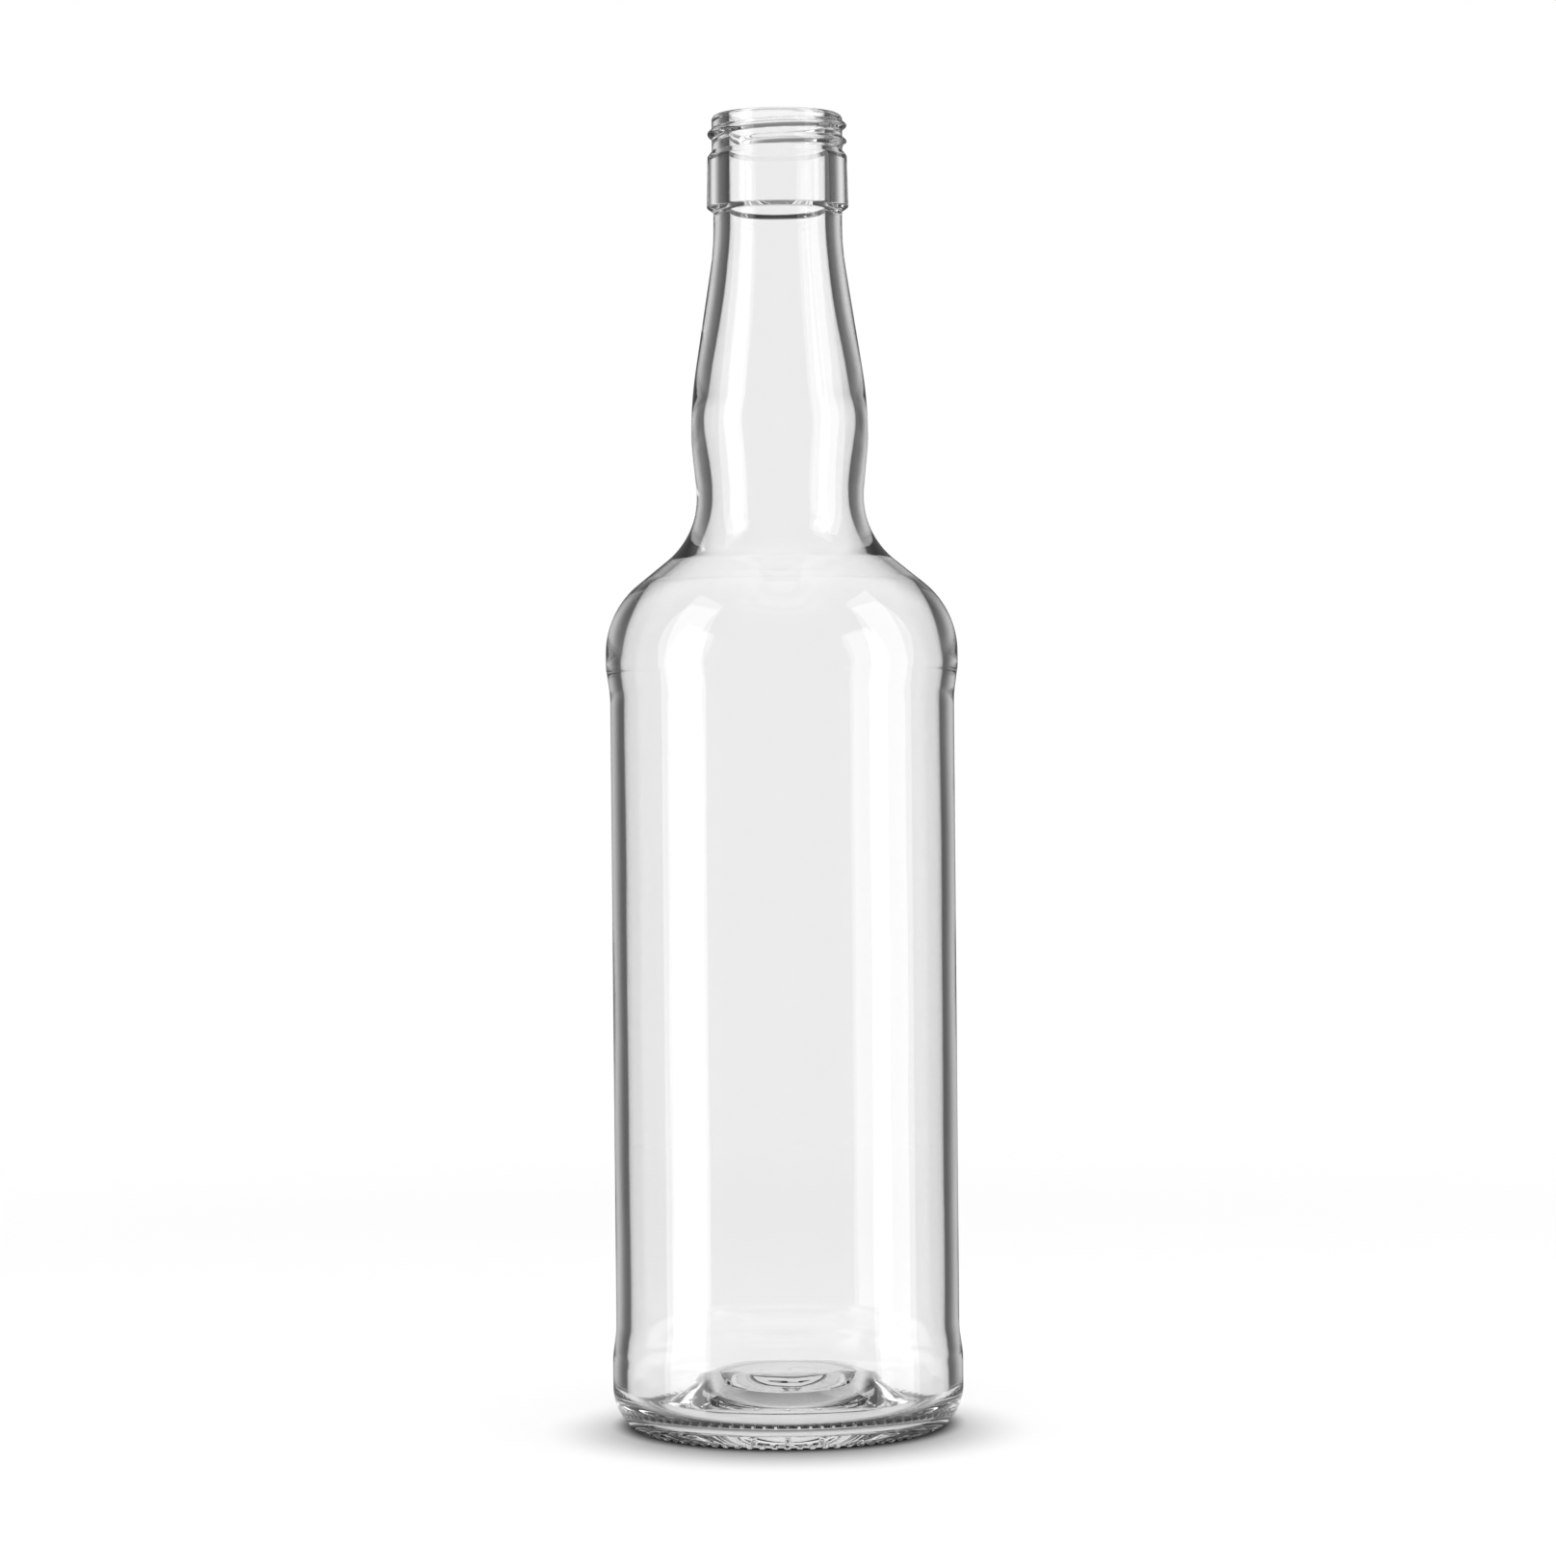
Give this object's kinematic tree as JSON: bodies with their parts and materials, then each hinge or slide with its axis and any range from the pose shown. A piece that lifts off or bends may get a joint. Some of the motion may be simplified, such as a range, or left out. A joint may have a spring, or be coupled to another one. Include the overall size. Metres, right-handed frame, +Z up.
{
  "type": "whisky bottle",
  "caption": "Tall clear glass spirit bottle, open and empty, with a ringed mouth finish, a bulged neck, round shoulders, a recessed label panel and a pushed-up base.",
  "frame": {"origin": "centre of the ring that the bottle stands on", "axes": "+Z up along the bottle's axis, to the mouth; the bottle is round, so X and Y are any two level directions"},
  "size_m": [0.0768, 0.0768, 0.286],
  "materials": {
    "clear_glass": "polished clear flint glass"
  },
  "bodies": {
    "root": {"bottle": "clear_glass"}
  },
  "joints": []
}
